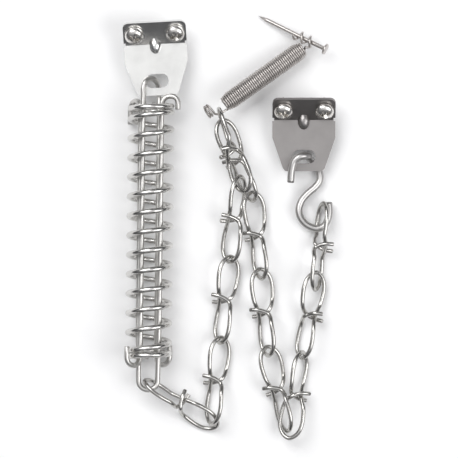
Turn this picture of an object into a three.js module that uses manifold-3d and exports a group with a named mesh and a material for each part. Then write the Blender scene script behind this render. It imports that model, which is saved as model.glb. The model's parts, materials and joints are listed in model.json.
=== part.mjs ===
// Storm-door chain guard: two sheet-steel brackets, a drawbar compression spring,
// a double-loop wire chain, an S-hook, and a keeper spring with its nail.
// Laid flat on a surface. Millimetres, +Z up.
import * as THREE from 'three';
import Module from 'manifold-3d';

const wasm = await Module();
wasm.setup();
const { Manifold, Mesh: SolidMesh } = wasm;

const RAD = Math.PI / 180;
const WIRE_SIDES = 6;

// Bracket: one bent plate with a screw flange and a slotted, tapered tongue.
const SHEET = 1.4;
const BRACKET_WIDTH = 27.5;
const FLANGE_HEIGHT = 11.8;
const FLANGE_CORNER = 2.5;
const TONGUE_LENGTH = 22.6;
const TONGUE_STRAIGHT = 8;
const TONGUE_TIP_WIDTH = 17;
const BEND_ANGLE = 38;
const SLOT_LENGTH = 10.2;
const SLOT_HEIGHT = 6.1;
const SLOT_DROP = 16.3;
const SCREW_SPACING = 17.8;
const SCREW_RISE = 5.9;
const SCREW_HOLE = 4.6;
const GUSSET_WIDTH = 5.3;

// Pan-head wood screw, number 8 by three eighths of an inch.
const SCREW_HEAD = 8.2;
const SCREW_HEAD_HEIGHT = 2.9;
const SCREW_SHANK = 4.0;
const SCREW_LENGTH = 9.5;
const SEAT_GAP = 0.3;

// Drawbar spring.
const COIL_RADIUS = 9.1;
const COIL_WIRE = 2.4;
const COIL_LENGTH = 110.5;
const COIL_TURNS = 15;
const COIL_CLOSED_TURNS = 1.4;
const COIL_CLOSED_PITCH = 2.6;
const COIL_AXIS_HEIGHT = 10.3;
const DRAWBAR_WIRE = 2.3;
const DRAWBAR_LEG_RADIUS = 4.6;

// Chain link: one wire bent into two loops at about a right angle, knotted at the waist.
const LINK_WIRE = 1.9;
const LINK_HALF_LENGTH = 19.05;
const LINK_WAIST = 2.6;
const LINK_TAIL = 6.1;
// Loop half-widths at distances from the waist.
const LINK_PROFILE = [
  [2.6, 3.4], [5, 4.6], [8.5, 5.1], [12, 5.2], [15, 4.6], [17.3, 3.2], [18.6, 1.5], [19.05, 0],
];
// How each link lies: centre, heading and rise of its long axis, roll of its upper and
// lower loop about that axis, and which side the straight wire is on.
const CHAIN_LAY = [
  { at: [-21.17, -76.50, 6.94], heading: 147.1, rise: 12.2, upper: -70, lower: 37, spine: 1 },
  { at: [-5.42, -66.37, 5.29], heading: 83.6, rise: -0.6, upper: -38, lower: 55, spine: -1 },
  { at: [-1.56, -31.00, 5.32], heading: 83.0, rise: 0.1, upper: -37, lower: 55, spine: -1 },
  { at: [2.45, 4.24, 7.79], heading: 82.6, rise: 8.3, upper: -57, lower: 45, spine: -1 },
  { at: [1.49, 34.36, 12.81], heading: 108.3, rise: -5.9, upper: -94, lower: 40, spine: -1 },
  { at: [3.56, 29.89, 7.07], heading: 112.0, rise: 7.6, upper: -33, lower: 56, spine: -1 },
  { at: [12.25, -2.78, 5.47], heading: 96.3, rise: 0.2, upper: -33, lower: 58, spine: -1 },
  { at: [15.50, -36.45, 5.40], heading: 95.5, rise: 0.0, upper: -31, lower: 57, spine: -1 },
  { at: [21.22, -70.02, 5.40], heading: 103.7, rise: -0.3, upper: -31, lower: 59, spine: -1 },
  { at: [29.09, -72.67, 6.23], heading: 80.6, rise: -2.3, upper: -56, lower: 22, spine: 1 },
  { at: [35.12, -37.75, 5.45], heading: 80.1, rise: 0.8, upper: -31, lower: 54, spine: 1 },
  { at: [39.55, -7.63, 5.84], heading: 84.5, rise: 0.0, upper: 69, lower: -67, spine: 1 },
];

// S-hook.
const HOOK_WIRE = 3.18;

// Keeper spring and nail.
const KEEPER_WIRE = 1.0;
const KEEPER_RADIUS = 3.55;
const KEEPER_END_RADIUS = 2.45;
const KEEPER_LENGTH = 43.6;
const KEEPER_TAPER = 3.8;
const NAIL_RADIUS = 0.95;
const NAIL_HEAD_RADIUS = 2.5;
const NAIL_HEAD_THICK = 1.0;

function vec(x, y, z) {
  return new THREE.Vector3(x, y, z);
}

function steel(hex, roughness) {
  return new THREE.MeshStandardMaterial({ color: hex, metalness: 1, roughness });
}

const plated = () => steel(0xc9c7c3, 0.25);
const satin = () => steel(0x9b9794, 0.4);

// --- wires -----------------------------------------------------------------

function smoothPath(points, count) {
  const curve = new THREE.CatmullRomCurve3(points, false, 'centripetal');
  return curve.getSpacedPoints(count);
}

// Straight runs joined by round bends.
function bentPath(points, radius, steps = 6) {
  const path = [points[0]];
  for (let i = 1; i < points.length - 1; i++) {
    const corner = points[i];
    const back = points[i - 1].clone().sub(corner);
    const ahead = points[i + 1].clone().sub(corner);
    const half = back.angleTo(ahead) / 2;
    const room = Math.min(back.length(), ahead.length()) * 0.499;
    const reach = Math.min(radius / Math.tan(half), room);
    back.normalize();
    ahead.normalize();
    const bend = reach * Math.tan(half);
    const toCentre = back.clone().add(ahead).normalize();
    const centre = corner.clone().addScaledVector(toCentre, bend / Math.sin(half));
    const from = corner.clone().addScaledVector(back, reach).sub(centre);
    const to = corner.clone().addScaledVector(ahead, reach).sub(centre);
    const sweep = from.angleTo(to);
    const hinge = from.clone().cross(to).normalize();
    for (let k = 0; k <= steps; k++) {
      path.push(from.clone().applyAxisAngle(hinge, (sweep * k) / steps).add(centre));
    }
  }
  path.push(points[points.length - 1]);
  return path;
}

// A round wire along a path, with flat ends.
function wireSolid(path, radius, sides = WIRE_SIDES) {
  const positions = [];
  const index = [];
  let normal = null;
  path.forEach((point, i) => {
    const before = path[Math.max(i - 1, 0)];
    const after = path[Math.min(i + 1, path.length - 1)];
    const tangent = after.clone().sub(before).normalize();
    if (!normal) {
      const guide = Math.abs(tangent.z) < 0.9 ? vec(0, 0, 1) : vec(1, 0, 0);
      normal = guide.clone().cross(tangent).normalize();
    }
    normal.addScaledVector(tangent, -normal.dot(tangent)).normalize();
    const side = tangent.clone().cross(normal);
    for (let k = 0; k < sides; k++) {
      const a = (2 * Math.PI * k) / sides;
      const spoke = normal.clone().multiplyScalar(Math.cos(a)).addScaledVector(side, Math.sin(a));
      positions.push(...point.clone().addScaledVector(spoke, radius).toArray());
    }
  });
  for (let i = 0; i < path.length - 1; i++) {
    for (let k = 0; k < sides; k++) {
      const a = i * sides + k;
      const b = i * sides + ((k + 1) % sides);
      index.push(a, b, b + sides, a, b + sides, a + sides);
    }
  }
  const last = (path.length - 1) * sides;
  for (let k = 1; k < sides - 1; k++) {
    index.push(0, k + 1, k);
    index.push(last, last + k, last + k + 1);
  }
  const geometry = new THREE.BufferGeometry();
  geometry.setAttribute('position', new THREE.Float32BufferAttribute(positions, 3));
  geometry.setIndex(index);
  return geometry;
}

// --- solids ----------------------------------------------------------------

function toSolid(geometry) {
  const solid = new SolidMesh({
    numProp: 3,
    vertProperties: new Float32Array(geometry.attributes.position.array),
    triVerts: new Uint32Array(geometry.index.array),
  });
  solid.merge();
  return new Manifold(solid);
}

function toGeometry(solid) {
  const mesh = solid.getMesh();
  const geometry = new THREE.BufferGeometry();
  geometry.setAttribute('position', new THREE.BufferAttribute(mesh.vertProperties, 3));
  geometry.setIndex(new THREE.BufferAttribute(mesh.triVerts, 1));
  return geometry;
}

function piece(name, geometry, material) {
  geometry.computeVertexNormals();
  const mesh = new THREE.Mesh(geometry, material);
  mesh.name = name;
  return mesh;
}

// Turns a profile of [radius, height] pairs about Z.
function turned(profile, segments) {
  const outline = new wasm.CrossSection([profile]);
  return outline.revolve(segments);
}

// --- bracket and screws ----------------------------------------------------

function roundedOutline(halfWidth, height, corner) {
  const outline = [[-halfWidth, 0], [halfWidth, 0]];
  for (const [cx, start] of [[halfWidth - corner, 0], [-halfWidth + corner, 90]]) {
    for (let a = start; a <= start + 90; a += 22.5) {
      outline.push([cx + corner * Math.cos(a * RAD), height - corner + corner * Math.sin(a * RAD)]);
    }
  }
  return outline;
}

function tongueOutline() {
  const half = BRACKET_WIDTH / 2;
  const tip = TONGUE_TIP_WIDTH / 2;
  return [
    [-half, 0], [-half, -TONGUE_STRAIGHT], [-tip - 0.6, -TONGUE_LENGTH + 1.2],
    [-tip + 0.5, -TONGUE_LENGTH], [tip - 0.5, -TONGUE_LENGTH],
    [tip + 0.6, -TONGUE_LENGTH + 1.2], [half, -TONGUE_STRAIGHT], [half, 0],
  ];
}

function plate(outline) {
  return new wasm.CrossSection([outline], 'NonZero').extrude(SHEET).translate([0, 0, -SHEET / 2]);
}

function slotCutter() {
  const reach = (SLOT_LENGTH - SLOT_HEIGHT) / 2;
  const end = Manifold.cylinder(SHEET * 3, SLOT_HEIGHT / 2, SLOT_HEIGHT / 2, 32, true);
  const left = end.translate([-reach, -SLOT_DROP, 0]);
  const right = end.translate([reach, -SLOT_DROP, 0]);
  return Manifold.hull([left, right]);
}

function screwHoles() {
  const hole = Manifold.cylinder(SHEET * 3, SCREW_HOLE / 2, SCREW_HOLE / 2, 24, true);
  const offset = SCREW_SPACING / 2;
  return hole.translate([-offset, SCREW_RISE, 0]).add(hole.translate([offset, SCREW_RISE, 0]));
}

// The pressed bead that braces the bend: a long dome that runs from the flange onto the tongue.
function gusset() {
  const lean = BEND_ANGLE * RAD;
  return Manifold.sphere(1, 20)
    .scale([GUSSET_WIDTH / 2, 3.8, 2.4])
    .translate([0, -0.6, 0.9])
    .trimByPlane([0, 0, 1], 0)
    .trimByPlane([0, -Math.sin(lean), Math.cos(lean)], 0);
}

// Relief nicks at both ends of the bend.
function bendNicks() {
  const nick = Manifold.cube([1.6, 1.4, 6], true);
  const half = BRACKET_WIDTH / 2;
  return nick.translate([-half, 0, 0]).add(nick.translate([half, 0, 0]));
}

function bracketGeometry() {
  const flange = plate(roundedOutline(BRACKET_WIDTH / 2, FLANGE_HEIGHT, FLANGE_CORNER))
    .subtract(screwHoles())
    .rotate([BEND_ANGLE, 0, 0]);
  const tongue = plate(tongueOutline().reverse()).subtract(slotCutter());
  const knuckle = Manifold.cylinder(BRACKET_WIDTH, SHEET / 2, SHEET / 2, 16, true)
    .rotate([0, 90, 0]);
  const bent = flange.add(tongue).add(knuckle).add(gusset());
  return toGeometry(bent.subtract(bendNicks()));
}

function screwGeometry() {
  const r = SCREW_HEAD / 2;
  const h = SCREW_HEAD_HEIGHT;
  const shank = SCREW_SHANK / 2;
  const body = turned([
    [0, -SCREW_LENGTH], [shank * 0.9, -SCREW_LENGTH + 4.5], [shank, -3], [shank, 0],
    [r, 0], [r, 0.9], [r * 0.9, h * 0.66], [r * 0.62, h * 0.9], [0, h],
  ], 16);
  const arm = Manifold.cube([5, 1.1, 2.4], true).translate([0, 0, h]);
  return toGeometry(body.subtract(arm).subtract(arm.rotate([0, 0, 90])));
}

// A bracket with its two screws, lying with its tongue tilted and its flange leaning up.
function bracketSet(side, at, turn, tilt) {
  const set = new THREE.Group();
  set.add(piece(`${side}_bracket`, bracketGeometry(), satin()));
  const lean = BEND_ANGLE * RAD;
  const lift = SHEET / 2 + SEAT_GAP;
  for (const [label, sign] of [['a', -1], ['b', 1]]) {
    const screw = piece(`${side}_screw_${label}`, screwGeometry(), plated());
    screw.rotation.x = lean;
    screw.position.set(
      (sign * SCREW_SPACING) / 2,
      SCREW_RISE * Math.cos(lean) - lift * Math.sin(lean),
      SCREW_RISE * Math.sin(lean) + lift * Math.cos(lean),
    );
    set.add(screw);
  }
  set.rotation.order = 'ZYX';
  set.rotation.set(tilt * RAD, 0, turn * RAD);
  set.position.set(...at);
  return set;
}

// --- drawbar spring --------------------------------------------------------

function coilHeight(turn) {
  const closed = COIL_CLOSED_TURNS * COIL_CLOSED_PITCH;
  const active = (COIL_LENGTH - 2 * closed) / (COIL_TURNS - 2 * COIL_CLOSED_TURNS);
  const start = -COIL_LENGTH / 2;
  if (turn < COIL_CLOSED_TURNS) return start + turn * COIL_CLOSED_PITCH;
  if (turn > COIL_TURNS - COIL_CLOSED_TURNS) return -start - (COIL_TURNS - turn) * COIL_CLOSED_PITCH;
  return start + closed + (turn - COIL_CLOSED_TURNS) * active;
}

function compressionSpring() {
  const steps = COIL_TURNS * 14;
  const path = [];
  for (let i = 0; i <= steps; i++) {
    const turn = (i / steps) * COIL_TURNS;
    const a = turn * 2 * Math.PI;
    path.push(vec(-COIL_RADIUS * Math.sin(a), coilHeight(turn), -COIL_RADIUS * Math.cos(a)));
  }
  return piece('compression_spring', wireSolid(path, COIL_WIRE / 2), plated());
}

// Points at a radius from the spring axis, in a plane turned about it.
function inPlane(turn, radius, y) {
  return vec(radius * Math.cos(turn * RAD), y, radius * Math.sin(turn * RAD));
}

// Loop threaded through the bracket slot; its two hooks carry the far end of the coil.
function upperDrawbar() {
  const plane = -40;
  const leg = DRAWBAR_LEG_RADIUS;
  const out = 12;
  const tip = -50.1;
  const turnY = -58.55;
  const left = bentPath([
    inPlane(plane, -out, tip), inPlane(plane, -out, turnY),
    inPlane(plane, -leg, turnY), inPlane(plane, -leg, 57),
  ], 3.7);
  const loop = smoothPath([
    inPlane(plane, -leg, 58), vec(-3.45, 62.6, 2.95), vec(-2.6, 65.2, 2.4), vec(-0.8, 66.4, 0.9),
    vec(0.9, 66.2, -0.8), vec(2.3, 64.7, -2.9), vec(3.0, 62.4, -4.4), vec(3.3, 59, -4.6),
    vec(3.4, 55, -3.8),
  ], 16);
  const right = bentPath([
    inPlane(plane, leg, 51), inPlane(plane, leg, turnY),
    inPlane(plane, out, turnY), inPlane(plane, out, tip),
  ], 3.7);
  return piece('upper_drawbar', wireSolid([...left, ...loop, ...right], DRAWBAR_WIRE / 2, 8), plated());
}

// Loop that carries the chain; its two hooks press on the near end of the coil.
function lowerDrawbar() {
  const plane = 8;
  const leg = DRAWBAR_LEG_RADIUS;
  const out = 11.8;
  const path = bentPath([
    inPlane(38, -out, 46.5), inPlane(38, -out, 56.75), inPlane(plane, -leg, 56.75),
    inPlane(plane, -leg, -40), inPlane(0, -4.1, -69.35), inPlane(0, 4.1, -69.35),
    inPlane(plane, leg, -40), inPlane(plane, leg, 58.85),
    inPlane(plane, out, 58.85), inPlane(plane, out, 53),
  ], 4.05);
  return piece('lower_drawbar', wireSolid(path, DRAWBAR_WIRE / 2, 8), plated());
}

function drawbarSpring() {
  const set = new THREE.Group();
  set.add(upperDrawbar(), lowerDrawbar(), compressionSpring());
  set.position.set(-34.55, -0.85, COIL_AXIS_HEIGHT);
  set.rotation.z = -0.68 * RAD;
  return set;
}

// --- chain -----------------------------------------------------------------

function easeIn(t) {
  const c = Math.min(Math.max(t, 0), 1);
  return c * c * (3 - 2 * c);
}

function linkPath({ upper, lower, spine: s }) {
  const rollAt = (y) => (lower + (upper - lower) * easeIn((y + 5) / 10)) * RAD;
  const side = (w, y) => vec(w * Math.cos(rollAt(y)), y, w * Math.sin(rollAt(y)));
  const waist = rollAt(0);
  const knot = (p, y, q) => vec(
    p * Math.cos(waist) - q * Math.sin(waist),
    y,
    p * Math.sin(waist) + q * Math.cos(waist),
  );
  const tail = (f) => [
    knot(s * LINK_TAIL, f * 1.6, f * 1.5), knot(s * 4.5, f * 1.5, f * 1.9),
    knot(s * 2.6, f * 1.35, f * 2.1), knot(0, f * 0.45, f * 1.35), knot(-s * 1.8, -f * 0.7, f * 0.9),
  ];
  const rising = [...LINK_PROFILE];
  const falling = LINK_PROFILE.slice(0, -1).reverse();
  const points = [
    ...tail(1),
    ...rising.map(([y, w]) => side(-s * w, -y)),
    ...falling.map(([y, w]) => side(s * w, -y)),
    side(s * LINK_WAIST, 0),
    ...rising.map(([y, w]) => side(s * w, y)),
    ...falling.map(([y, w]) => side(-s * w, y)),
    ...tail(-1).reverse(),
  ];
  return smoothPath(points, 48);
}

function chainLink(number, lay) {
  const name = `chain_link_${String(number).padStart(2, '0')}`;
  const link = piece(name, wireSolid(linkPath(lay), LINK_WIRE / 2), plated());
  const turn = lay.heading * RAD;
  const rise = lay.rise * RAD;
  const along = vec(Math.cos(turn) * Math.cos(rise), Math.sin(turn) * Math.cos(rise), Math.sin(rise));
  const across = along.clone().cross(vec(0, 0, 1)).normalize();
  const frame = new THREE.Matrix4().makeBasis(across, along, across.clone().cross(along));
  link.quaternion.setFromRotationMatrix(frame);
  link.position.set(...lay.at);
  return link;
}

// --- S-hook ----------------------------------------------------------------

function sHook() {
  const points = [
    [26.9, 20.2, 9.0], [27.3, 25.2, 9.5], [28.3, 29.2, 9.9], [30.4, 31.3, 10.2],
    [32.6, 31.9, 9.8], [34.4, 31.8, 8.2], [34.9, 31.4, 5.9], [35.3, 30.8, 4.0],
    [36.5, 29.5, 2.9], [38.3, 27.4, 2.4], [39.6, 24.8, 2.4], [39.7, 21, 2.5],
    [37.6, 18.2, 2.8], [34.3, 15.4, 3.2], [31.8, 12.35, 3.5], [30.65, 9.0, 3.8],
    [30.9, 6.2, 4.0], [32.6, 3.15, 4.2], [35.1, 1.2, 4.3], [38.45, 0.23, 4.3],
    [41.5, 1.2, 4.2], [43.2, 4.0, 4.0], [43.9, 7.6, 3.8], [43.75, 11.8, 3.6],
  ].map((p) => vec(...p));
  return piece('s_hook', wireSolid(smoothPath(points, 48), HOOK_WIRE / 2, 8), plated());
}

// --- keeper spring and nail ------------------------------------------------

const KEEPER_START = vec(-2.4, 54, 11);
const KEEPER_ALONG = vec(35.3, 25.4, -5.5).normalize();
const NAIL_TIP = vec(13.1, 93.4, 1.2);
const NAIL_END = vec(42.5, 78.3, 9.5);

// A point on the keeper's axis, moved sideways in the picture plane and up.
function besideKeeper(along, sideways, up) {
  const right = KEEPER_ALONG.clone().cross(vec(0, 0, 1)).normalize();
  const above = right.clone().cross(KEEPER_ALONG);
  return KEEPER_START.clone().addScaledVector(KEEPER_ALONG, along)
    .addScaledVector(right, sideways).addScaledVector(above, up);
}

function placedAlong(solid, origin, direction) {
  const turn = new THREE.Quaternion().setFromUnitVectors(vec(0, 0, 1), direction);
  const matrix = new THREE.Matrix4().compose(origin, turn, vec(1, 1, 1));
  return solid.transform(matrix.toArray());
}

// The close-wound body, drawn in at both ends.
function keeperBody() {
  const outer = KEEPER_RADIUS + KEEPER_WIRE / 2;
  const end = KEEPER_END_RADIUS + KEEPER_WIRE / 2;
  const wall = KEEPER_WIRE;
  const far = KEEPER_LENGTH - KEEPER_TAPER;
  return turned([
    [end - wall, 0], [end, 0], [outer, KEEPER_TAPER], [outer, far], [end, KEEPER_LENGTH],
    [end - wall, KEEPER_LENGTH], [outer - wall, far], [outer - wall, KEEPER_TAPER],
  ], 20);
}

// Wire from the body through the chain, ending in a small double eye.
function chainEye() {
  const eye = 2.6;
  const path = [
    besideKeeper(1.4, 2.35, -0.6), besideKeeper(0.1, 2.35, 0), besideKeeper(-1.4, 2.3, 0.15),
    besideKeeper(-3.3, 2.2, 0.1), besideKeeper(-4.6, 1.7, 0),
  ];
  const turns = 2.2;
  for (let i = 1; i <= 20; i++) {
    const a = (i / 20) * turns * 2 * Math.PI;
    path.push(besideKeeper(-5.5 - (i / 20) * 2.6, eye * Math.cos(a) - 1.6, eye * Math.sin(a)));
  }
  return toSolid(wireSolid(smoothPath(path, 40), KEEPER_WIRE / 2));
}

// Wire from the body wound loosely round the nail.
function nailEye() {
  const along = NAIL_END.clone().sub(NAIL_TIP).normalize();
  const right = along.clone().cross(vec(0, 0, 1)).normalize();
  const above = right.clone().cross(along);
  const path = [
    besideKeeper(KEEPER_LENGTH - 1.4, 0.4, 2.35),
    besideKeeper(KEEPER_LENGTH + 0.3, 0.2, 2.4),
  ];
  const turns = 2.2;
  for (let i = 0; i <= 20; i++) {
    const a = (i / 20) * turns * 2 * Math.PI;
    path.push(NAIL_TIP.clone().addScaledVector(along, 27.2 - (i / 20) * 9)
      .addScaledVector(right, 2.1 * Math.cos(a)).addScaledVector(above, 2.1 * Math.sin(a)));
  }
  return toSolid(wireSolid(smoothPath(path, 40), KEEPER_WIRE / 2));
}

function keeperSpring() {
  const body = placedAlong(keeperBody(), KEEPER_START, KEEPER_ALONG);
  return piece('keeper_spring', toGeometry(body.add(chainEye()).add(nailEye())), satin());
}

function nail() {
  const length = NAIL_END.distanceTo(NAIL_TIP);
  const r = NAIL_RADIUS;
  const solid = turned([
    [0, 0], [r, 4], [r, length - NAIL_HEAD_THICK - 0.8],
    [r + 0.5, length - NAIL_HEAD_THICK], [NAIL_HEAD_RADIUS, length - NAIL_HEAD_THICK],
    [NAIL_HEAD_RADIUS, length - 0.25], [NAIL_HEAD_RADIUS - 0.4, length], [0, length],
  ], 12);
  const along = NAIL_END.clone().sub(NAIL_TIP).normalize();
  return piece('nail', toGeometry(placedAlong(solid, NAIL_TIP, along)), satin());
}

// --- assembly --------------------------------------------------------------

function centred(group) {
  const box = new THREE.Box3().setFromObject(group, true);
  const middle = box.getCenter(vec(0, 0, 0));
  for (const child of group.children) {
    child.position.sub(vec(middle.x, middle.y, box.min.z));
  }
  return group;
}

const assembly = new THREE.Group();
assembly.add(bracketSet('left', [-32.2, 80.9, 8.3], 3, -0.5));
assembly.add(drawbarSpring());
CHAIN_LAY.forEach((lay, i) => assembly.add(chainLink(i + 1, lay)));
assembly.add(keeperSpring(), nail(), sHook());
assembly.add(bracketSet('right', [32.7, 47.9, 7.1], 0, 4));

export default centred(assembly);
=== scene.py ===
"""Storm door chain guard, laid flat on a pale surface.

The CAD frame is dressed with fine round wires, threaded screws and zinc-plate finishes. Shapes are
worked out in millimetres and built in metres.
"""

import json
import math

import bmesh
import bpy
from mathutils import Matrix, Quaternion, Vector

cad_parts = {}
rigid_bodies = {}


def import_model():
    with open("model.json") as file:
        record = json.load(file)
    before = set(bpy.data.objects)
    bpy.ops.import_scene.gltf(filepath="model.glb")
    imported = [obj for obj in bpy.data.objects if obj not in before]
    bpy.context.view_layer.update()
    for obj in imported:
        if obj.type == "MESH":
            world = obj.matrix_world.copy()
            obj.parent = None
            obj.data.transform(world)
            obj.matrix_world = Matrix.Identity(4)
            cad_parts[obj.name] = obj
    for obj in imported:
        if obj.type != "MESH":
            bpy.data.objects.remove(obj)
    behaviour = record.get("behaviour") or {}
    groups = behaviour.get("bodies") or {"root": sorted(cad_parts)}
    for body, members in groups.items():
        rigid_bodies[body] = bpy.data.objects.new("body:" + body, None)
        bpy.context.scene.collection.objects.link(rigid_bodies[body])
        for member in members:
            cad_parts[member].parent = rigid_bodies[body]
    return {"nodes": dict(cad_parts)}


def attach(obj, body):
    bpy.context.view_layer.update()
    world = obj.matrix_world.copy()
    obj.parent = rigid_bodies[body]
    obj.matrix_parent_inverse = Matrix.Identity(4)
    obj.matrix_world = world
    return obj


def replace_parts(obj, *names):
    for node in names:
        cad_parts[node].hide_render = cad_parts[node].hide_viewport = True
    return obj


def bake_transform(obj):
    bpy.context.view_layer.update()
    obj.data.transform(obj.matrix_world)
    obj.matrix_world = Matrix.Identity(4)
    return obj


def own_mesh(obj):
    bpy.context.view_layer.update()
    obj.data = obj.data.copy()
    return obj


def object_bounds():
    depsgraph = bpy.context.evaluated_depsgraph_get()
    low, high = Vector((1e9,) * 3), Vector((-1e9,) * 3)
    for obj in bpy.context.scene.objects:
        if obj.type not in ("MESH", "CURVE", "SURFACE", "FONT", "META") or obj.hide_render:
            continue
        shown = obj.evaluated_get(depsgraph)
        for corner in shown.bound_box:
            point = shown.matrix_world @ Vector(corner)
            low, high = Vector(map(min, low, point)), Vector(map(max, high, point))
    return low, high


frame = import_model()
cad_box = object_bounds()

MM = 0.001
# The CAD centres the set on its own box; this is how far that moved it, in millimetres.
SET_OFFSET = Vector((-0.055, -0.512, 0))

# Driving sizes, as in the CAD.
LINK_WIRE = 1.9
LINK_WAIST = 2.6
LINK_TAIL = 6.1
LINK_PROFILE = [
    (2.6, 3.4), (5, 4.6), (8.5, 5.1), (12, 5.2), (15, 4.6), (17.3, 3.2), (18.6, 1.5), (19.05, 0),
]
# Centre, heading, rise, roll of the upper and the lower loop, and side of the straight wire.
CHAIN_LAY = [
    ((-21.17, -76.50, 6.94), 147.1, 12.2, -70, 37, 1),
    ((-5.42, -66.37, 5.29), 83.6, -0.6, -38, 55, -1),
    ((-1.56, -31.00, 5.32), 83.0, 0.1, -37, 55, -1),
    ((2.45, 4.24, 7.79), 82.6, 8.3, -57, 45, -1),
    ((1.49, 34.36, 12.81), 108.3, -5.9, -94, 40, -1),
    ((3.56, 29.89, 7.07), 112.0, 7.6, -33, 56, -1),
    ((12.25, -2.78, 5.47), 96.3, 0.2, -33, 58, -1),
    ((15.50, -36.45, 5.40), 95.5, 0.0, -31, 57, -1),
    ((21.22, -70.02, 5.40), 103.7, -0.3, -31, 59, -1),
    ((29.09, -72.67, 6.23), 80.6, -2.3, -56, 22, 1),
    ((35.12, -37.75, 5.45), 80.1, 0.8, -31, 54, 1),
    ((39.55, -7.63, 5.84), 84.5, 0.0, 69, -67, 1),
]

COIL_RADIUS = 9.1
COIL_WIRE = 2.4
COIL_LENGTH = 110.5
COIL_TURNS = 15
COIL_CLOSED_TURNS = 1.4
COIL_CLOSED_PITCH = 2.6
DRAWBAR_WIRE = 2.3
DRAWBAR_LEG_RADIUS = 4.6
SPRING_CENTRE = (-34.55, -0.85, 10.3)
SPRING_TURN = -0.68

HOOK_WIRE = 3.18

KEEPER_WIRE = 1.0
KEEPER_RADIUS = 3.55
KEEPER_END_RADIUS = 2.45
KEEPER_LENGTH = 43.6
KEEPER_TAPER = 3.8
KEEPER_START = Vector((-2.4, 54, 11))
KEEPER_ALONG = Vector((35.3, 25.4, -5.5)).normalized()
NAIL_TIP = Vector((13.1, 93.4, 1.2))
NAIL_END = Vector((42.5, 78.3, 9.5))
NAIL_RADIUS = 0.95
NAIL_HEAD_RADIUS = 2.5
NAIL_HEAD_THICK = 1.0

SHEET = 1.4
BEND_ANGLE = 38
SCREW_SPACING = 17.8
SCREW_RISE = 5.9
SCREW_HEAD = 8.2
SCREW_HEAD_HEIGHT = 2.9
SCREW_SHANK = 4.0
SCREW_LENGTH = 9.5
SEAT_GAP = 0.3

# Recess of a screw head: depth, and half-length and half-width at its floor and above its mouth.
RECESS_DEPTH = 1.7
RECESS_FLOOR = (1.3, 0.5)
RECESS_MOUTH = (2.8, 0.75)

# --- materials --------------------------------------------------------------

# Noise scales, per metre, of the fine grain and of the broad clouding; and how far gloss varies.
GRAIN_SCALE = 700.0
CLOUD_SCALE = 90.0
GLOSS_SPREAD = 0.06


def metal(name, colour, roughness, bump=0.02, stretch=(1, 1, 1)):
    """Plated steel: a metal whose gloss varies finely, with a faint surface grain."""
    mat = bpy.data.materials.new(name)
    mat.use_nodes = True
    nodes, links = mat.node_tree.nodes, mat.node_tree.links
    shader = nodes["Principled BSDF"]
    shader.inputs["Metallic"].default_value = 1.0
    place = nodes.new("ShaderNodeTexCoord")
    scale = nodes.new("ShaderNodeMapping")
    scale.inputs["Scale"].default_value = stretch
    links.new(place.outputs["Object"], scale.inputs["Vector"])

    noise = nodes.new("ShaderNodeTexNoise")
    noise.inputs["Scale"].default_value = GRAIN_SCALE
    noise.inputs["Detail"].default_value = 4.0
    links.new(scale.outputs["Vector"], noise.inputs["Vector"])
    gloss = nodes.new("ShaderNodeMapRange")
    gloss.inputs["To Min"].default_value = max(roughness - GLOSS_SPREAD, 0.02)
    gloss.inputs["To Max"].default_value = roughness + GLOSS_SPREAD
    links.new(noise.outputs["Fac"], gloss.inputs["Value"])
    links.new(gloss.outputs["Result"], shader.inputs["Roughness"])

    cloud = nodes.new("ShaderNodeTexNoise")
    cloud.inputs["Scale"].default_value = CLOUD_SCALE
    cloud.inputs["Detail"].default_value = 3.0
    links.new(place.outputs["Object"], cloud.inputs["Vector"])
    tint = nodes.new("ShaderNodeValToRGB")
    tint.color_ramp.elements[0].position = 0.3
    tint.color_ramp.elements[0].color = (*[c * 0.86 for c in colour], 1)
    tint.color_ramp.elements[1].position = 0.65
    tint.color_ramp.elements[1].color = (*colour, 1)
    links.new(cloud.outputs["Fac"], tint.inputs["Fac"])
    links.new(tint.outputs["Color"], shader.inputs["Base Color"])

    rough = nodes.new("ShaderNodeBump")
    rough.inputs["Strength"].default_value = bump
    rough.inputs["Distance"].default_value = 0.0002
    links.new(noise.outputs["Fac"], rough.inputs["Height"])
    links.new(rough.outputs["Normal"], shader.inputs["Normal"])
    return mat


def plain(name, colour, roughness):
    """One flat colour."""
    mat = bpy.data.materials.new(name)
    mat.use_nodes = True
    shader = mat.node_tree.nodes["Principled BSDF"]
    shader.inputs["Base Color"].default_value = (*colour, 1)
    shader.inputs["Roughness"].default_value = roughness
    return mat


# Both brackets are the same zinc-plated steel. The left one's pale base colour is a painted
# reflection of the light overhead, and the right one's dark base colour is painted shade. They
# also differ in roughness and grain direction.
PLATE_PAINTED_LIGHT = metal("plate_painted_light", (0.80, 0.80, 0.79), 0.22, stretch=(1, 0.15, 1), bump=0.03)
PLATE_PAINTED_SHADE = metal("plate_painted_shade", (0.34, 0.325, 0.32), 0.36, stretch=(0.15, 1, 1), bump=0.04)
SPRING_STEEL = metal("spring_steel", (0.70, 0.69, 0.67), 0.22)
DRAWBAR_STEEL = metal("drawbar_steel", (0.62, 0.61, 0.59), 0.34)
CHAIN_STEEL = metal("chain_steel", (0.55, 0.54, 0.52), 0.22)
HOOK_STEEL = metal("hook_steel", (0.52, 0.51, 0.50), 0.36)
KEEPER_STEEL = metal("keeper_steel", (0.56, 0.53, 0.51), 0.38)
NAIL_STEEL = metal("nail_steel", (0.60, 0.57, 0.55), 0.34)
SCREW_STEEL = metal("screw_steel", (0.80, 0.78, 0.75), 0.26)

# --- paths ------------------------------------------------------------------


def vec(*xyz):
    return Vector(xyz)


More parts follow.
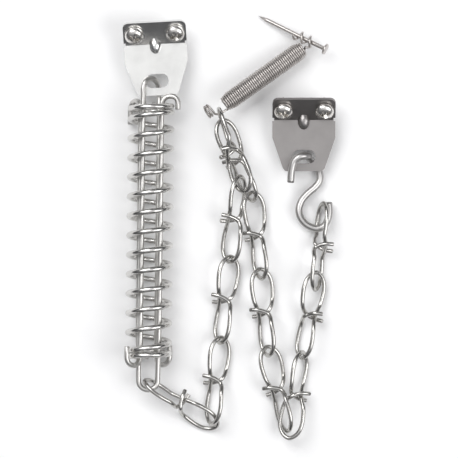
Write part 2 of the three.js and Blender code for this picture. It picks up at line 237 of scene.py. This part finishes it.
def smooth_path(points, spacing=0.45):
    """A centripetal Catmull-Rom curve through the points."""
    first = points[0] * 2 - points[1]
    last = points[-1] * 2 - points[-2]
    line = [first, *points, last]
    path = []
    for p0, p1, p2, p3 in zip(line, line[1:], line[2:], line[3:]):
        d0, d1, d2 = (max((b - a).length ** 0.5, 1e-4) for a, b in ((p0, p1), (p1, p2), (p2, p3)))
        t1 = ((p1 - p0) / d0 - (p2 - p0) / (d0 + d1) + (p2 - p1) / d1) * d1
        t2 = ((p2 - p1) / d1 - (p3 - p1) / (d1 + d2) + (p3 - p2) / d2) * d1
        steps = max(2, round((p2 - p1).length / spacing))
        for k in range(steps):
            t = k / steps
            path.append(
                p1 + t1 * t + (p2 * 3 - p1 * 3 - t1 * 2 - t2) * t**2
                + (p1 * 2 - p2 * 2 + t1 + t2) * t**3
            )
    return [*path, points[-1]]


def bent_path(points, radius, steps=14):
    """Straight runs joined by round bends."""
    path = [points[0]]
    for before, corner, after in zip(points, points[1:], points[2:]):
        back, ahead = before - corner, after - corner
        half = back.angle(ahead) / 2
        room = min(back.length, ahead.length) * 0.499
        reach = min(radius / math.tan(half), room)
        back.normalize()
        ahead.normalize()
        bend = reach * math.tan(half)
        centre = corner + (back + ahead).normalized() * (bend / math.sin(half))
        start = corner + back * reach - centre
        stop = corner + ahead * reach - centre
        hinge = start.cross(stop).normalized()
        sweep = start.angle(stop)
        for k in range(steps + 1):
            path.append(centre + Quaternion(hinge, sweep * k / steps) @ start)
    return [*path, points[-1]]


# --- meshes -----------------------------------------------------------------


def shown(name, mesh, material, body, place=Matrix.Identity(4)):
    """A finished piece in the row frame, riding on its body."""
    mesh.transform(Matrix.Translation(SET_OFFSET) @ place)
    mesh.transform(Matrix.Scale(MM, 4))
    mesh.materials.clear()
    mesh.materials.append(material)
    for face in mesh.polygons:
        face.use_smooth = True
    obj = bpy.data.objects.new(name, mesh)
    bpy.context.scene.collection.objects.link(obj)
    if body:
        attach(obj, body)
    return obj


def wire_mesh(name, path, radius, sides=16, end=0.3):
    """A round wire along a path; its cut ends are slightly rounded off."""
    rim = min(end, radius * 0.5)
    stations = []
    tangents = [
        (path[min(i + 1, len(path) - 1)] - path[max(i - 1, 0)]).normalized()
        for i in range(len(path))
    ]
    normal = tangents[0].orthogonal().normalized()
    for point, along in zip(path, tangents):
        normal = (normal - along * normal.dot(along)).normalized()
        stations.append((point, along, normal.copy(), radius))
    p, t, n, r = stations[0]
    stations[0] = (p + t * rim, t, n, r)
    stations.insert(0, (p + t * rim * 0.3, t, n, r - rim * 0.3))
    stations.insert(0, (p, t, n, r - rim))
    p, t, n, r = stations[-1]
    stations[-1] = (p - t * rim, t, n, r)
    stations.append((p - t * rim * 0.3, t, n, r - rim * 0.3))
    stations.append((p, t, n, r - rim))

    verts, faces = [], []
    for point, along, normal, r in stations:
        side = along.cross(normal)
        for k in range(sides):
            a = 2 * math.pi * k / sides
            verts.append(point + (normal * math.cos(a) + side * math.sin(a)) * r)
    for i in range(len(stations) - 1):
        for k in range(sides):
            a, b = i * sides + k, i * sides + (k + 1) % sides
            faces.append((a, b, b + sides, a + sides))
    faces.append(tuple(reversed(range(sides))))
    faces.append(tuple(range(len(verts) - sides, len(verts))))
    mesh = bpy.data.meshes.new(name)
    mesh.from_pydata(verts, [], faces)
    return mesh


def turned_mesh(name, profile, segments=48):
    """A profile of (radius, height) pairs, ends on the axis, turned about Z."""
    verts, faces = [vec(0, 0, profile[0][1])], []
    rings = profile[1:-1]
    for r, z in rings:
        for k in range(segments):
            a = 2 * math.pi * k / segments
            verts.append(vec(r * math.cos(a), r * math.sin(a), z))
    verts.append(vec(0, 0, profile[-1][1]))
    top = len(verts) - 1
    for k in range(segments):
        n = (k + 1) % segments
        faces.append((0, 1 + n, 1 + k))
        for i in range(len(rings) - 1):
            low, high = 1 + i * segments, 1 + (i + 1) * segments
            faces.append((low + k, low + n, high + n, high + k))
        last = 1 + (len(rings) - 1) * segments
        faces.append((last + k, last + n, top))
    mesh = bpy.data.meshes.new(name)
    mesh.from_pydata(verts, [], faces)
    return mesh


def carved(mesh, cutter):
    """The mesh less the cutter."""
    scene = bpy.context.scene.collection.objects
    body = bpy.data.objects.new("carve_body", mesh)
    tool = bpy.data.objects.new("carve_tool", cutter)
    scene.link(body)
    scene.link(tool)
    cut = body.modifiers.new("cut", "BOOLEAN")
    cut.operation = "DIFFERENCE"
    cut.object = tool
    bpy.context.view_layer.update()
    depsgraph = bpy.context.evaluated_depsgraph_get()
    result = bpy.data.meshes.new_from_object(body.evaluated_get(depsgraph))
    bpy.data.objects.remove(body)
    bpy.data.objects.remove(tool)
    return result


def crease(obj, angle=35):
    """Smooth shading that keeps edges sharper than the angle."""
    mesh = obj.data
    sharp = math.radians(angle)
    work = bmesh.new()
    work.from_mesh(mesh)
    for edge in work.edges:
        edge.smooth = len(edge.link_faces) == 2 and edge.calc_face_angle(0) < sharp
    work.to_mesh(mesh)
    work.free()
    return obj


# --- brackets and screws ----------------------------------------------------


def bracket(side, material):
    """The CAD bracket with its edges eased as a press leaves them."""
    node = frame["nodes"][f"{side}_bracket"]
    weld = node.modifiers.new("weld", "WELD")
    weld.merge_threshold = 1e-6
    ease = node.modifiers.new("ease", "BEVEL")
    ease.width = 0.25 * MM
    ease.segments = 3
    ease.limit_method = "ANGLE"
    ease.angle_limit = math.radians(25)
    flatten = node.modifiers.new("flatten", "WEIGHTED_NORMAL")
    flatten.weight = 100
    for face in node.data.polygons:
        face.use_smooth = True
    node.material_slots[0].material = material


def recess_arm(quarter):
    """One arm of the cross of a Phillips recess, narrowing as it goes in."""
    top = SCREW_HEAD_HEIGHT + 0.6
    floor = SCREW_HEAD_HEIGHT - RECESS_DEPTH
    spin = Matrix.Rotation(math.radians(quarter), 3, "Z")
    corners = []
    for z, (length, width) in ((floor, RECESS_FLOOR), (top, RECESS_MOUTH)):
        for x, y in ((-1, -1), (1, -1), (1, 1), (-1, 1)):
            corners.append(spin @ vec(x * length, y * width, z))
    sides = [(i, (i + 1) % 4, (i + 1) % 4 + 4, i + 4) for i in range(4)]
    mesh = bpy.data.meshes.new("recess")
    mesh.from_pydata(corners, [], [(3, 2, 1, 0), (4, 5, 6, 7), *sides])
    return mesh


def thread_mesh():
    """The screw's shank: a thread whose ridge runs out into the point."""
    pitch, around, rows = 1.8, 28, 130
    taper = 4.2
    core, crest = SCREW_SHANK / 2 - 0.55, SCREW_SHANK / 2
    verts, faces = [], []
    for i in range(rows + 1):
        z = -SCREW_LENGTH * i / rows
        to_tip = min((SCREW_LENGTH + z) / taper, 1.0)
        for k in range(around):
            a = 2 * math.pi * k / around
            phase = (z / pitch + k / around) % 1.0
            ridge = max(0.0, 1 - abs(phase - 0.5) * 4.5)
            r = (core + (crest - core) * ridge) * to_tip + 0.02
            if z > -1.2:
                r = crest * 0.9
            verts.append(vec(r * math.cos(a), r * math.sin(a), z))
    for i in range(rows):
        for k in range(around):
            a, b = i * around + k, i * around + (k + 1) % around
            faces.append((b, a, a + around, b + around))
    faces.append(tuple(range(around)))
    faces.append(tuple(reversed(range(rows * around, (rows + 1) * around))))
    mesh = bpy.data.meshes.new("thread")
    mesh.from_pydata(verts, [], faces)
    return mesh


def head_mesh():
    """A pan head, domed, with its Phillips recess."""
    r, h = SCREW_HEAD / 2, SCREW_HEAD_HEIGHT
    dome = [(0, 0.0), (r - 0.15, 0.0), (r, 0.15), (r, 0.8)]
    for step in range(1, 9):
        a = math.radians(step * 10)
        dome.append((r * math.cos(a) ** 0.75, 0.8 + (h - 0.8) * math.sin(a)))
    dome.append((0, h))
    head = turned_mesh("head", dome, 64)
    for quarter in (0, 90):
        head = carved(head, recess_arm(quarter))
    return head


def screw(side, label, sign, place):
    lean = math.radians(BEND_ANGLE)
    lift = SHEET / 2 + SEAT_GAP
    seat = Matrix.Translation((
        sign * SCREW_SPACING / 2,
        SCREW_RISE * math.cos(lean) - lift * math.sin(lean),
        SCREW_RISE * math.sin(lean) + lift * math.cos(lean),
    ))
    turn = Matrix.Rotation(lean, 4, "X") @ Matrix.Rotation(math.radians(20 * sign), 4, "Z")
    name, body = f"{side}_screw_{label}", f"{side}_mount"
    head = shown(f"{name}_head", head_mesh(), SCREW_STEEL, body, place @ seat @ turn)
    shank = shown(
        f"{name}_shank", thread_mesh(), SCREW_STEEL, body, place @ seat @ turn
    )
    crease(head, 30)
    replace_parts(head, name)
    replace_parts(shank, name)


def bracket_set(side, at, turn, tilt, material):
    bracket(side, material)
    place = (
        Matrix.Translation(at)
        @ Matrix.Rotation(math.radians(turn), 4, "Z")
        @ Matrix.Rotation(math.radians(tilt), 4, "X")
    )
    for label, sign in (("a", -1), ("b", 1)):
        screw(side, label, sign, place)


# --- drawbar spring ---------------------------------------------------------

SPRING_PLACE = Matrix.Translation(SPRING_CENTRE) @ Matrix.Rotation(
    math.radians(SPRING_TURN), 4, "Z"
)


def coil_height(turn):
    closed = COIL_CLOSED_TURNS * COIL_CLOSED_PITCH
    active = (COIL_LENGTH - 2 * closed) / (COIL_TURNS - 2 * COIL_CLOSED_TURNS)
    start = -COIL_LENGTH / 2
    if turn < COIL_CLOSED_TURNS:
        return start + turn * COIL_CLOSED_PITCH
    if turn > COIL_TURNS - COIL_CLOSED_TURNS:
        return -start - (COIL_TURNS - turn) * COIL_CLOSED_PITCH
    return start + closed + (turn - COIL_CLOSED_TURNS) * active


def compression_spring():
    steps = COIL_TURNS * 48
    path = []
    for i in range(steps + 1):
        turn = i / steps * COIL_TURNS
        a = turn * 2 * math.pi
        path.append(vec(-COIL_RADIUS * math.sin(a), coil_height(turn), -COIL_RADIUS * math.cos(a)))
    mesh = wire_mesh("compression_spring_wire", path, COIL_WIRE / 2)
    obj = shown(
        "compression_spring_wire", mesh, SPRING_STEEL, "upper_bar", SPRING_PLACE
    )
    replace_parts(obj, "compression_spring")
    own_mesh(obj)


def in_plane(turn, radius, y):
    a = math.radians(turn)
    return vec(radius * math.cos(a), y, radius * math.sin(a))


def upper_drawbar():
    plane, leg, out = -40, DRAWBAR_LEG_RADIUS, 12
    tip, turn_y = -50.1, -58.55
    left = bent_path([
        in_plane(plane, -out, tip), in_plane(plane, -out, turn_y),
        in_plane(plane, -leg, turn_y), in_plane(plane, -leg, 57),
    ], 3.7)
    loop = smooth_path([
        in_plane(plane, -leg, 58), vec(-3.45, 62.6, 2.95), vec(-2.6, 65.2, 2.4),
        vec(-0.8, 66.4, 0.9), vec(0.9, 66.2, -0.8), vec(2.3, 64.7, -2.9), vec(3.0, 62.4, -4.4),
        vec(3.3, 59, -4.6), vec(3.4, 55, -3.8),
    ])
    right = bent_path([
        in_plane(plane, leg, 51), in_plane(plane, leg, turn_y),
        in_plane(plane, out, turn_y), in_plane(plane, out, tip),
    ], 3.7)
    mesh = wire_mesh("upper_drawbar_wire", [*left, *loop, *right], DRAWBAR_WIRE / 2, 20)
    obj = shown(
        "upper_drawbar_wire", mesh, DRAWBAR_STEEL, "upper_bar", SPRING_PLACE
    )
    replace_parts(obj, "upper_drawbar")


def lower_drawbar():
    plane, leg, out = 8, DRAWBAR_LEG_RADIUS, 11.8
    path = bent_path([
        in_plane(38, -out, 46.5), in_plane(38, -out, 56.75), in_plane(plane, -leg, 56.75),
        in_plane(plane, -leg, -40), in_plane(0, -4.1, -69.35), in_plane(0, 4.1, -69.35),
        in_plane(plane, leg, -40), in_plane(plane, leg, 58.85),
        in_plane(plane, out, 58.85), in_plane(plane, out, 53),
    ], 4.05)
    mesh = wire_mesh("lower_drawbar_wire", path, DRAWBAR_WIRE / 2, 20)
    obj = shown(
        "lower_drawbar_wire", mesh, DRAWBAR_STEEL, "lower_bar", SPRING_PLACE
    )
    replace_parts(obj, "lower_drawbar")


# --- chain ------------------------------------------------------------------


def ease_in(t):
    t = min(max(t, 0.0), 1.0)
    return t * t * (3 - 2 * t)


def link_path(upper, lower, s):
    def roll_at(y):
        return math.radians(lower + (upper - lower) * ease_in((y + 5) / 10))

    def side(w, y):
        return vec(w * math.cos(roll_at(y)), y, w * math.sin(roll_at(y)))

    waist = roll_at(0)

    def knot(p, y, q):
        return vec(
            p * math.cos(waist) - q * math.sin(waist), y,
            p * math.sin(waist) + q * math.cos(waist),
        )

    def tail(f):
        return [
            knot(s * LINK_TAIL, f * 1.6, f * 1.5), knot(s * 4.5, f * 1.5, f * 1.9),
            knot(s * 2.6, f * 1.35, f * 2.1), knot(0, f * 0.45, f * 1.35),
            knot(-s * 1.8, -f * 0.7, f * 0.9),
        ]

    rising, falling = LINK_PROFILE, LINK_PROFILE[-2::-1]
    return smooth_path([
        *tail(1),
        *[side(-s * w, -y) for y, w in rising],
        *[side(s * w, -y) for y, w in falling],
        side(s * LINK_WAIST, 0),
        *[side(s * w, y) for y, w in rising],
        *[side(-s * w, y) for y, w in falling],
        *reversed(tail(-1)),
    ])


def chain_link(number, lay):
    at, heading, rise, upper, lower, spine = lay
    h, r = math.radians(heading), math.radians(rise)
    along = vec(math.cos(h) * math.cos(r), math.sin(h) * math.cos(r), math.sin(r))
    across = along.cross(vec(0, 0, 1)).normalized()
    turn = Matrix((across, along, across.cross(along))).transposed().to_4x4()
    name = f"chain_link_{number:02d}"
    mesh = wire_mesh(f"{name}_wire", link_path(upper, lower, spine), LINK_WIRE / 2, 14)
    place = Matrix.Translation(at) @ turn
    obj = shown(f"{name}_wire", mesh, CHAIN_STEEL, f"link_{number:02d}", place)
    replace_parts(obj, name)


# --- S-hook -----------------------------------------------------------------


def s_hook():
    points = [
        (26.9, 20.2, 9.0), (27.3, 25.2, 9.5), (28.3, 29.2, 9.9), (30.4, 31.3, 10.2),
        (32.6, 31.9, 9.8), (34.4, 31.8, 8.2), (34.9, 31.4, 5.9), (35.3, 30.8, 4.0),
        (36.5, 29.5, 2.9), (38.3, 27.4, 2.4), (39.6, 24.8, 2.4), (39.7, 21, 2.5),
        (37.6, 18.2, 2.8), (34.3, 15.4, 3.2), (31.8, 12.35, 3.5), (30.65, 9.0, 3.8),
        (30.9, 6.2, 4.0), (32.6, 3.15, 4.2), (35.1, 1.2, 4.3), (38.45, 0.23, 4.3),
        (41.5, 1.2, 4.2), (43.2, 4.0, 4.0), (43.9, 7.6, 3.8), (43.75, 11.8, 3.6),
    ]
    mesh = wire_mesh("s_hook_wire", smooth_path([vec(*p) for p in points]), HOOK_WIRE / 2, 20, 0.5)
    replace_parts(shown("s_hook_wire", mesh, HOOK_STEEL, "hook"), "s_hook")


# --- keeper spring and nail -------------------------------------------------


def beside_keeper(along, sideways, up):
    right = KEEPER_ALONG.cross(vec(0, 0, 1)).normalized()
    above = right.cross(KEEPER_ALONG)
    return KEEPER_START + KEEPER_ALONG * along + right * sideways + above * up


def keeper_radius(along):
    to_end = min(along, KEEPER_LENGTH - along) / KEEPER_TAPER
    return KEEPER_END_RADIUS + (KEEPER_RADIUS - KEEPER_END_RADIUS) * min(max(to_end, 0), 1)


def keeper_spring():
    """One wire: the double eye on the chain, the close-wound body, and the eye on the nail."""
    eye, turns = 2.6, 2.2
    path = []
    for i in range(40, 0, -1):
        a = i / 40 * turns * 2 * math.pi
        sideways, up = eye * math.cos(a) - 1.6, eye * math.sin(a)
        path.append(beside_keeper(-5.5 - i / 40 * 2.6, sideways, up))
    path += smooth_path([
        beside_keeper(-4.6, 1.7, 0), beside_keeper(-3.3, 2.2, 0.1),
        beside_keeper(-1.4, 2.3, 0.15), beside_keeper(0.1, 2.35, 0),
    ])[:-1]
    wound = KEEPER_LENGTH / KEEPER_WIRE
    steps = round(wound) * 24
    for i in range(steps + 1):
        along = 0.5 + i / steps * (KEEPER_LENGTH - 1)
        a = i / steps * (wound + 0.25) * 2 * math.pi
        r = keeper_radius(along)
        path.append(beside_keeper(along, r * math.cos(a), r * math.sin(a)))
    nail_along = (NAIL_END - NAIL_TIP).normalized()
    right = nail_along.cross(vec(0, 0, 1)).normalized()
    above = right.cross(nail_along)
    helix = [beside_keeper(KEEPER_LENGTH + 0.3, 0.2, 2.4)]
    for i in range(41):
        a = i / 40 * turns * 2 * math.pi
        spoke = right * math.cos(a) + above * math.sin(a)
        helix.append(NAIL_TIP + nail_along * (27.2 - i / 40 * 9) + spoke * 2.1)
    path += smooth_path(helix)
    mesh = wire_mesh("keeper_spring_wire", path, KEEPER_WIRE / 2, 10, 0.2)
    obj = shown("keeper_spring_wire", mesh, KEEPER_STEEL, None)
    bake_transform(obj)
    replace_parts(obj, "keeper_spring")


def nail():
    length = (NAIL_END - NAIL_TIP).length
    r, head = NAIL_RADIUS, length - NAIL_HEAD_THICK
    profile = [(0, 0), (0.12, 0.15), (r - 0.05, 3.8), (r, 4.1), (r, head - 0.8), (r + 0.45, head)]
    profile += [(NAIL_HEAD_RADIUS - 0.15, head), (NAIL_HEAD_RADIUS, head + 0.15)]
    profile += [(NAIL_HEAD_RADIUS, length - 0.3), (NAIL_HEAD_RADIUS - 0.3, length - 0.05)]
    profile += [(NAIL_HEAD_RADIUS - 0.6, length), (0, length)]
    turn = (NAIL_END - NAIL_TIP).to_track_quat("Z", "Y").to_matrix().to_4x4()
    mesh = turned_mesh("nail_wire", profile, 32)
    place = Matrix.Translation(NAIL_TIP) @ turn
    obj = crease(shown("nail_wire", mesh, NAIL_STEEL, "nail", place), 50)
    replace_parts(obj, "nail")


# --- studio -----------------------------------------------------------------


def floor():
    mesh = bpy.data.meshes.new("floor")
    work = bmesh.new()
    bmesh.ops.create_grid(work, x_segments=1, y_segments=1, size=3.0)
    work.to_mesh(mesh)
    work.free()
    mesh.materials.append(plain("floor_paper", (0.97, 0.97, 0.97), 0.9))
    obj = bpy.data.objects.new("floor", mesh)
    obj.location.z = cad_box[0].z - 0.0002
    bpy.context.scene.collection.objects.link(obj)


def area_light(name, at, size, power):
    """A square light aimed at the middle of the set."""
    light = bpy.data.lights.new(name, "AREA")
    light.shape = "SQUARE"
    light.size = size
    light.energy = power
    obj = bpy.data.objects.new(name, light)
    obj.location = at
    obj.rotation_euler = (-Vector(at)).to_track_quat("-Z", "Y").to_euler()
    bpy.context.scene.collection.objects.link(obj)


def overhead_glow():
    """A room that is dark at the horizon and brightens steadily to straight up."""
    world = bpy.data.worlds.new("studio")
    world.use_nodes = True
    nodes, links = world.node_tree.nodes, world.node_tree.links
    direction = nodes.new("ShaderNodeTexCoord")
    split = nodes.new("ShaderNodeSeparateXYZ")
    ramp = nodes.new("ShaderNodeValToRGB")
    links.new(direction.outputs["Generated"], split.inputs["Vector"])
    links.new(split.outputs["Z"], ramp.inputs["Fac"])
    links.new(ramp.outputs["Color"], nodes["Background"].inputs["Color"])
    ramp.color_ramp.elements[0].position = 0.0
    ramp.color_ramp.elements[0].color = (0.06, 0.06, 0.065, 1)
    ramp.color_ramp.elements[1].position = 1.0
    ramp.color_ramp.elements[1].color = (1, 1, 1, 1)
    for position, grey in ((0.45, 0.13), (0.72, 0.30), (0.90, 0.72)):
        stop = ramp.color_ramp.elements.new(position)
        stop.color = (grey, grey, grey * 1.03, 1)
    nodes["Background"].inputs["Strength"].default_value = 1.0
    bpy.context.scene.world = world


def studio():
    overhead_glow()
    area_light("key", (-0.45, 0.55, 0.95), 0.8, 8)
    area_light("fill", (0.7, -0.2, 0.8), 0.7, 5)
    bpy.context.scene.view_settings.view_transform = "Standard"


def camera():
    """Straight down on the set, through a long lens that frames 200 mm."""
    height, width, middle = 1.5, 0.2001, 0.008
    data = bpy.data.cameras.new("camera")
    data.sensor_width = 36
    data.lens = 36 * (height - middle) / width
    obj = bpy.data.objects.new("camera", data)
    obj.location = (SET_OFFSET.x * MM, SET_OFFSET.y * MM, height)
    bpy.context.scene.collection.objects.link(obj)
    bpy.context.scene.camera = obj


# The left bracket gets the plate with the painted reflection; the right bracket gets the plate
# with the painted shade.
bracket_set("left", (-32.2, 80.9, 8.3), 3, -0.5, PLATE_PAINTED_LIGHT)
bracket_set("right", (32.7, 47.9, 7.1), 0, 4, PLATE_PAINTED_SHADE)
compression_spring()
upper_drawbar()
lower_drawbar()
for number, lay in enumerate(CHAIN_LAY, 1):
    chain_link(number, lay)
s_hook()
keeper_spring()
nail()
floor()
studio()
camera()
